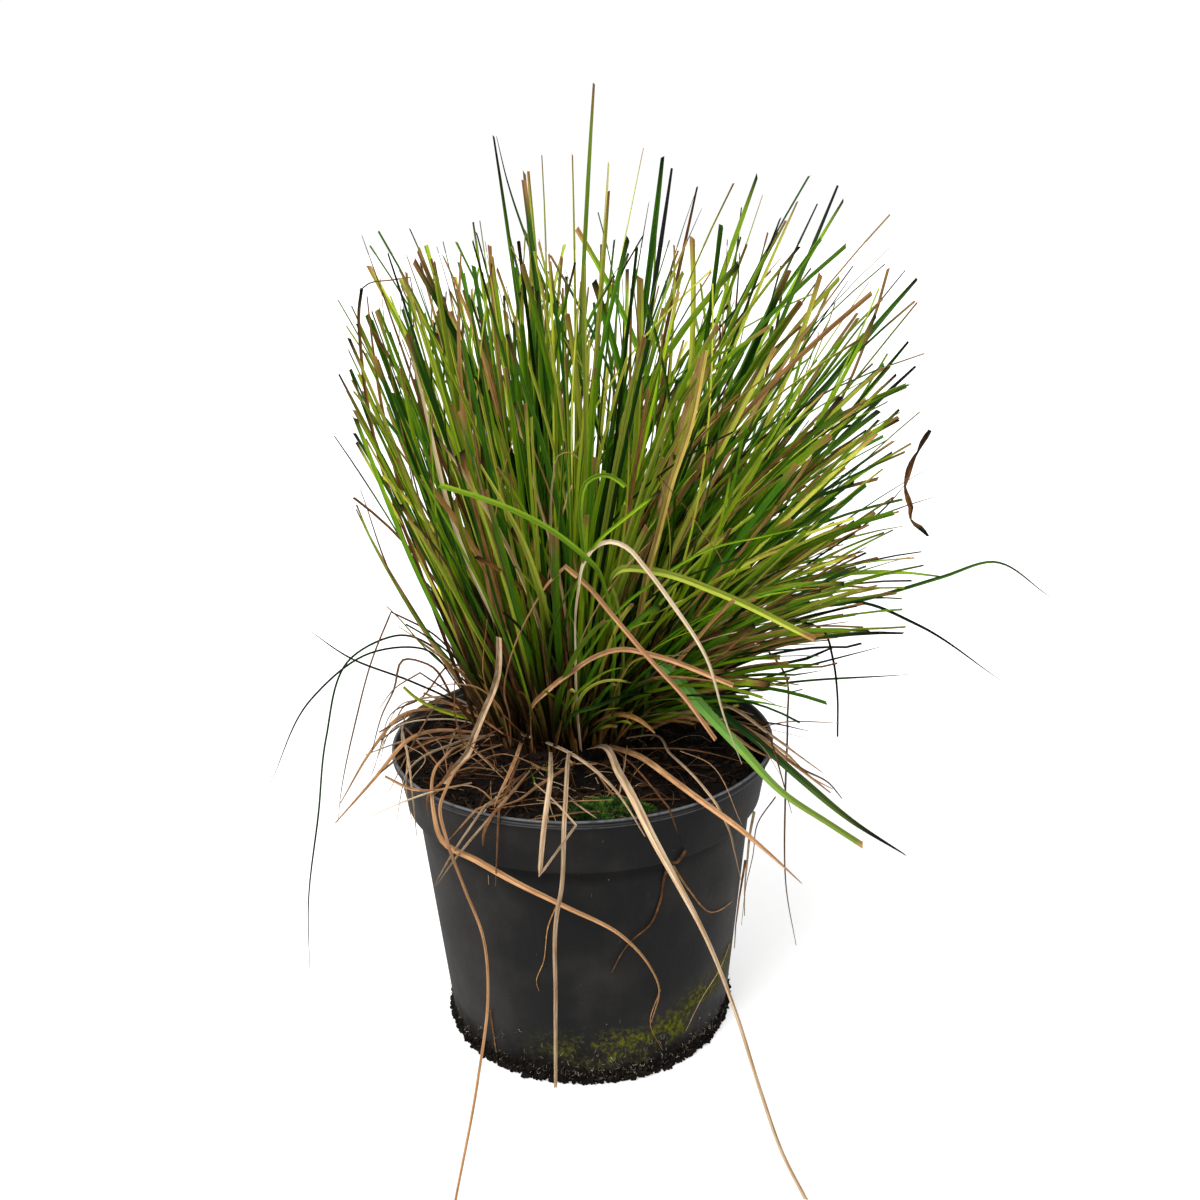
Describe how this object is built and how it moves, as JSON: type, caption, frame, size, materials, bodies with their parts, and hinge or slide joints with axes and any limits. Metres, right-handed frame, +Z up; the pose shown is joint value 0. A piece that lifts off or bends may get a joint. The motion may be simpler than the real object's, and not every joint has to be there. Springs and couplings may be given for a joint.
{
  "type": "potted ornamental grass clump",
  "caption": "Sheared clump of ornamental grass in a round nursery pot of compost, with dry blades that hang over the rim.",
  "frame": {"origin": "centre of the pot's underside, on the face that the pot stands on", "axes": "+Z up along the pot's axis, -Y towards the front of the plant as pictured, +X to its right, the side that the clump leans to"},
  "size_m": [0.3895, 0.3239, 0.456],
  "materials": {
    "pot": "satin",
    "soil": "matte",
    "crown": "matte",
    "moss": "matte",
    "green_leaf": "satin",
    "dry_leaf": "matte",
    "dark_leaf": "matte"
  },
  "bodies": {
    "root": {"pot": "pot", "soil": "soil", "crown": "crown", "moss_patch": "moss", "shoot_01": "green_leaf", "shoot_02": "green_leaf", "shoot_03": "green_leaf", "shoot_04": "green_leaf", "shoot_05": "green_leaf", "shoot_06": "green_leaf", "shoot_07": "green_leaf", "shoot_08": "green_leaf", "shoot_09": "green_leaf", "shoot_10": "green_leaf", "shoot_11": "green_leaf", "shoot_12": "green_leaf", "shoot_13": "green_leaf", "shoot_14": "green_leaf", "shoot_15": "green_leaf", "shoot_16": "green_leaf", "shoot_17": "green_leaf", "shoot_18": "green_leaf", "shoot_19": "green_leaf", "shoot_20": "green_leaf", "shoot_21": "green_leaf", "shoot_22": "green_leaf", "shoot_23": "green_leaf", "shoot_24": "green_leaf", "shoot_25": "green_leaf", "shoot_26": "green_leaf", "shoot_27": "green_leaf", "shoot_28": "green_leaf", "shoot_29": "green_leaf", "shoot_30": "green_leaf", "shoot_31": "green_leaf", "dry_blade_to_floor_right": "dry_leaf", "dry_blade_to_floor_left": "dry_leaf", "dry_blade_across_pot": "dry_leaf", "dry_blade_hanging_front": "dry_leaf", "dry_blade_folded_front": "dry_leaf", "dry_blade_over_rim_right": "dry_leaf", "dry_blade_thin_over_rim": "dry_leaf", "dry_arch_folded": "dry_leaf", "dry_arch_tall": "dry_leaf", "dry_arch_low": "dry_leaf", "dry_blade_right_rim": "dry_leaf", "dry_blade_left_rim": "dry_leaf", "dry_blade_left_rim_behind": "dry_leaf", "dry_blade_hanging_right": "dry_leaf", "dry_blade_cut_left": "dry_leaf", "green_yellow_blade_right": "green_leaf", "green_arc_left": "green_leaf", "broad_green_blade": "green_leaf", "broad_green_blade_behind": "green_leaf", "green_blade_far_right": "green_leaf", "dark_arc_left": "dark_leaf", "dark_blade_hanging_left": "dark_leaf", "dark_blade_left": "dark_leaf", "dark_blade_trailing_left": "dark_leaf", "dark_blade_far_right": "dark_leaf"}
  },
  "joints": []
}
